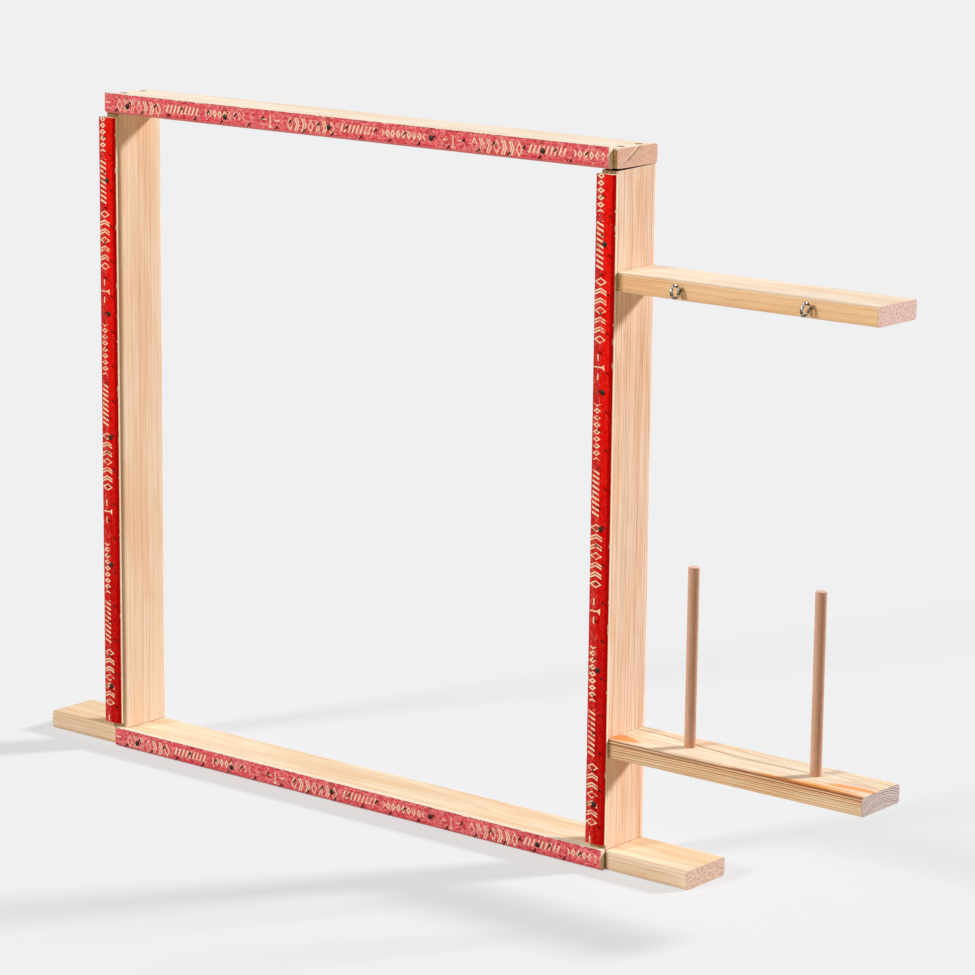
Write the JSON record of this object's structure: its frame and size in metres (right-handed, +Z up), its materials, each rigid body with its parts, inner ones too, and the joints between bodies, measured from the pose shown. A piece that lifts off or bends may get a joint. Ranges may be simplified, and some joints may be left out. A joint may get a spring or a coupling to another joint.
{
  "type": "tufting frame",
  "caption": "Free-standing softwood frame that stretches backing cloth on red gripper strips with slanted tack pins, with side arms for yarn cones and thread guides.",
  "frame": {"origin": "on the floor at the underside of the base plank, midway between the posts and midway through the planks' width", "axes": "+X along the frame towards the post that carries the arms, +Y from the pinned front to the back, +Z up"},
  "size_m": [1.148, 0.0864, 0.768],
  "materials": {
    "base_timber": "planed softwood, eased edges, unfinished",
    "post_timber": "planed softwood, eased edges, unfinished",
    "rail_timber": "planed softwood, eased edges, unfinished",
    "upper_arm_timber": "planed softwood, eased edges, unfinished",
    "lower_arm_timber": "planed softwood, eased edges, unfinished",
    "peg_dowel": "hardwood dowel, unfinished",
    "rail_strip_red": "plywood, red print on the face, bare plies on the edges",
    "post_strip_red": "plywood, red print on the face, bare plies on the edges",
    "pin_steel": "bright drawn wire",
    "nail_steel": "dark bare steel",
    "screw_steel": "dull zinc plate",
    "eye_plate": "bright nickel plate"
  },
  "bodies": {
    "root": {"base_plank": "base_timber", "left_post": "post_timber", "right_post": "post_timber", "top_rail": "rail_timber", "upper_arm": "upper_arm_timber", "lower_arm": "lower_arm_timber", "inner_peg": "peg_dowel", "outer_peg": "peg_dowel", "inner_eye": "eye_plate", "outer_eye": "eye_plate", "top_strip": "rail_strip_red", "bottom_strip": "rail_strip_red", "left_strip": "post_strip_red", "right_strip": "post_strip_red", "top_pins": "pin_steel", "bottom_pins": "pin_steel", "left_pins": "pin_steel", "right_pins": "pin_steel", "top_nails": "nail_steel", "bottom_nails": "nail_steel", "left_nails": "nail_steel", "right_nails": "nail_steel", "rail_screws_left": "screw_steel", "rail_screws_right": "screw_steel", "base_screws_left": "screw_steel", "base_screws_right": "screw_steel", "upper_arm_screws": "screw_steel", "lower_arm_screws": "screw_steel"}
  },
  "joints": []
}
